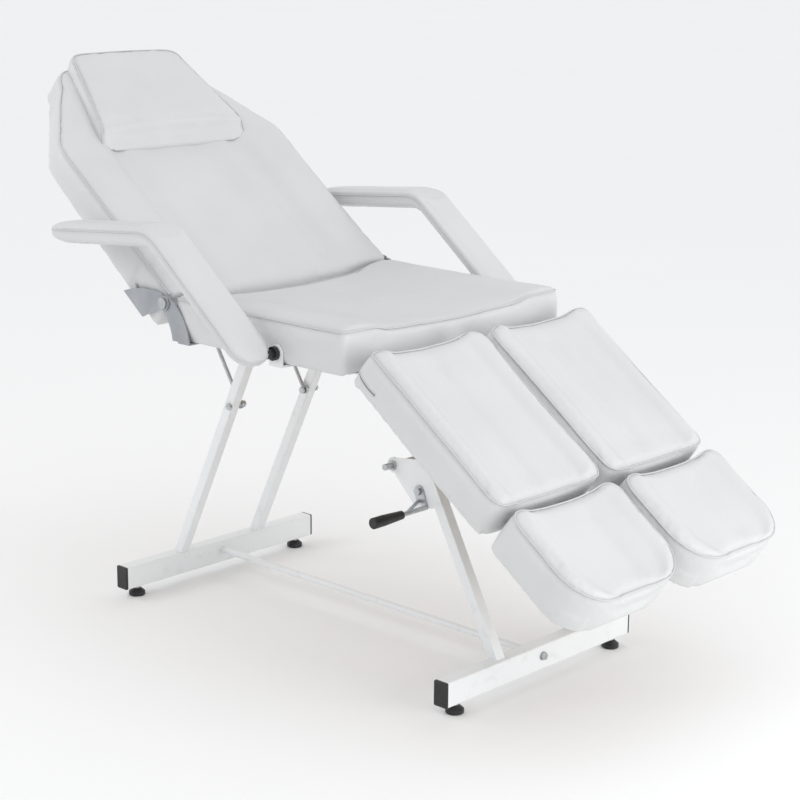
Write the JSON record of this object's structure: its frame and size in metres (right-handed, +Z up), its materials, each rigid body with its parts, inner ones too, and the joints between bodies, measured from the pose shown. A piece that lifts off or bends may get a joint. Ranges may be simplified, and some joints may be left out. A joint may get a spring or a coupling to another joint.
{
  "type": "tattoo chair",
  "caption": "Padded tattoo and treatment chair with a reclining back, split leg rests, sliding foot pads, swinging arms and a head pillow on a tubular steel base",
  "frame": {"origin": "centre of the bounding box on the floor, at rest", "axes": "X across the chair, Y along it towards the head, Z up"},
  "size_m": [0.822, 1.5842, 1.1045],
  "materials": {
    "leatherette": "white smooth artificial leather, satin",
    "plywood": "raw plywood",
    "white_coat": "white powder coat, satin",
    "grey_steel": "light grey coated steel",
    "zinc": "zinc plated steel",
    "black_plastic": "moulded black plastic"
  },
  "bodies": {
    "base": {"floor_bar_front": "white_coat", "floor_bar_rear": "white_coat", "bar_end_caps": "black_plastic", "foot_nuts": "zinc", "stretcher_tube": "white_coat", "stretcher_bolts": "zinc", "front_struts": "white_coat", "rear_struts": "white_coat", "strut_plates": "white_coat", "cross_shaft": "zinc", "lever_bolts": "zinc", "seat_frame": "white_coat", "frame_screws": "zinc", "seat_board": "plywood", "seat_cushion": "leatherette", "seat_hinge_leaves": "grey_steel", "hinge_bolts": "zinc", "seat_knuckles": "grey_steel", "knuckle_pins": "zinc", "arm_brackets": "white_coat", "arm_spacers": "black_plastic", "arm_bolts": "zinc", "stay_foot_bolts": "zinc"},
    "back": {"back_cushion": "leatherette", "back_board": "plywood", "back_frame": "white_coat", "back_hinge_leaves": "grey_steel", "leaf_bolts": "zinc", "stay_pins": "zinc"},
    "pillow": {"head_pillow": "leatherette"},
    "leg_rest": {"leg_frame": "white_coat", "leg_knuckles": "grey_steel", "leg_boards": "plywood", "leg_cushion_left": "leatherette", "leg_cushion_right": "leatherette", "leg_stay_pin": "zinc", "slide_guides": "white_coat"},
    "foot_rest_left": {"foot_cushion_left": "leatherette", "foot_board_left": "plywood", "foot_slide_left": "zinc"},
    "foot_rest_right": {"foot_cushion_right": "leatherette", "foot_board_right": "plywood", "foot_slide_right": "zinc"},
    "arm_left": {"arm_core_left": "white_coat", "arm_pad_left": "leatherette"},
    "arm_right": {"arm_core_right": "white_coat", "arm_pad_right": "leatherette"},
    "stay_rod_left": {"stay_rod_left": "zinc"},
    "stay_rod_right": {"stay_rod_right": "zinc"},
    "stay_sleeve_left": {"stay_sleeve_left": "white_coat"},
    "stay_sleeve_right": {"stay_sleeve_right": "white_coat"},
    "leg_stay_rod": {"leg_stay_rod": "zinc"},
    "leg_stay_sleeve": {"leg_stay_sleeve": "white_coat"},
    "lever": {"lever_frame": "white_coat", "lever_grip": "black_plastic"},
    "foot_front_left": {"levelling_foot_front_left": "black_plastic"},
    "foot_front_right": {"levelling_foot_front_right": "black_plastic"},
    "foot_rear_left": {"levelling_foot_rear_left": "black_plastic"},
    "foot_rear_right": {"levelling_foot_rear_right": "black_plastic"}
  },
  "joints": [
    {"name": "back_recline", "type": "hinge", "parent": "base", "child": "back", "pos_m": [0, 0.24439, 0.661], "axis": [1, 0, 0], "range_deg": [-37.3, 27.7]},
    {"name": "leg_tilt", "type": "hinge", "parent": "base", "child": "leg_rest", "pos_m": [0, -0.24061, 0.586], "axis": [1, 0, 0], "range_deg": [-36.1, 13.9]},
    {"name": "pillow_slide", "type": "slide", "parent": "back", "child": "pillow", "axis": [0, 0.7955, 0.606], "range_m": [-0.08, 0]},
    {"name": "leg_stay_rod_turn", "type": "hinge", "parent": "base", "child": "leg_stay_rod", "pos_m": [0, -0.18761, 0.388], "axis": [1, 0, 0], "range_deg": [-24, 9.4]},
    {"name": "leg_stay_sleeve_turn", "type": "hinge", "parent": "leg_rest", "child": "leg_stay_sleeve", "pos_m": [0, -0.44781, 0.42377], "axis": [1, 0, 0], "range_deg": [-5, 12.6]},
    {"name": "lever_turn", "type": "hinge", "parent": "base", "child": "lever", "pos_m": [0, -0.25561, 0.352], "axis": [1, 0, 0], "range_deg": [0, 25], "stiffness_Nm_per_rad": 0.6, "springref_deg": -17.19},
    {"name": "foot_slide_left", "type": "slide", "parent": "leg_rest", "child": "foot_rest_left", "axis": [0, -0.808, -0.5892], "range_m": [0, 0.1]},
    {"name": "arm_swing_left", "type": "hinge", "parent": "base", "child": "arm_left", "pos_m": [0, -0.06761, 0.612], "axis": [1, 0, 0], "range_deg": [-35, 45]},
    {"name": "stay_rod_turn_left", "type": "hinge", "parent": "base", "child": "stay_rod_left", "pos_m": [0, 0.27339, 0.418], "axis": [1, 0, 0], "range_deg": [-22.6, 16.8]},
    {"name": "stay_sleeve_turn_left", "type": "hinge", "parent": "back", "child": "stay_sleeve_left", "pos_m": [0, 0.52268, 0.81517], "axis": [1, 0, 0], "range_deg": [-11.3, 15.2]},
    {"name": "foot_slide_right", "type": "slide", "parent": "leg_rest", "child": "foot_rest_right", "axis": [0, -0.808, -0.5892], "range_m": [0, 0.1]},
    {"name": "arm_swing_right", "type": "hinge", "parent": "base", "child": "arm_right", "pos_m": [0, -0.06761, 0.612], "axis": [1, 0, 0], "range_deg": [-35, 45]},
    {"name": "stay_rod_turn_right", "type": "hinge", "parent": "base", "child": "stay_rod_right", "pos_m": [0, 0.27339, 0.418], "axis": [1, 0, 0], "range_deg": [-22.6, 16.8]},
    {"name": "stay_sleeve_turn_right", "type": "hinge", "parent": "back", "child": "stay_sleeve_right", "pos_m": [0, 0.52268, 0.81517], "axis": [1, 0, 0], "range_deg": [-11.3, 15.2]},
    {"name": "foot_front_left_turn", "type": "hinge", "parent": "base", "child": "foot_front_left", "pos_m": [-0.2276, -0.44311, 0.005], "axis": [0, 0, 1], "continuous": true},
    {"name": "foot_front_right_turn", "type": "hinge", "parent": "base", "child": "foot_front_right", "pos_m": [0.2276, -0.44311, 0.005], "axis": [0, 0, 1], "continuous": true},
    {"name": "foot_rear_left_turn", "type": "hinge", "parent": "base", "child": "foot_rear_left", "pos_m": [-0.2276, 0.45089, 0.005], "axis": [0, 0, 1], "continuous": true},
    {"name": "foot_rear_right_turn", "type": "hinge", "parent": "base", "child": "foot_rear_right", "pos_m": [0.2276, 0.45089, 0.005], "axis": [0, 0, 1], "continuous": true}
  ],
  "couplings": [
    {"joint": "leg_stay_rod_turn", "follows": "leg_tilt", "ratio": 0.66},
    {"joint": "leg_stay_sleeve_turn", "follows": "leg_tilt", "ratio": -0.34},
    {"joint": "stay_rod_turn_left", "follows": "back_recline", "ratio": 0.6},
    {"joint": "stay_sleeve_turn_left", "follows": "back_recline", "ratio": -0.4},
    {"joint": "stay_rod_turn_right", "follows": "back_recline", "ratio": 0.6},
    {"joint": "stay_sleeve_turn_right", "follows": "back_recline", "ratio": -0.4}
  ]
}
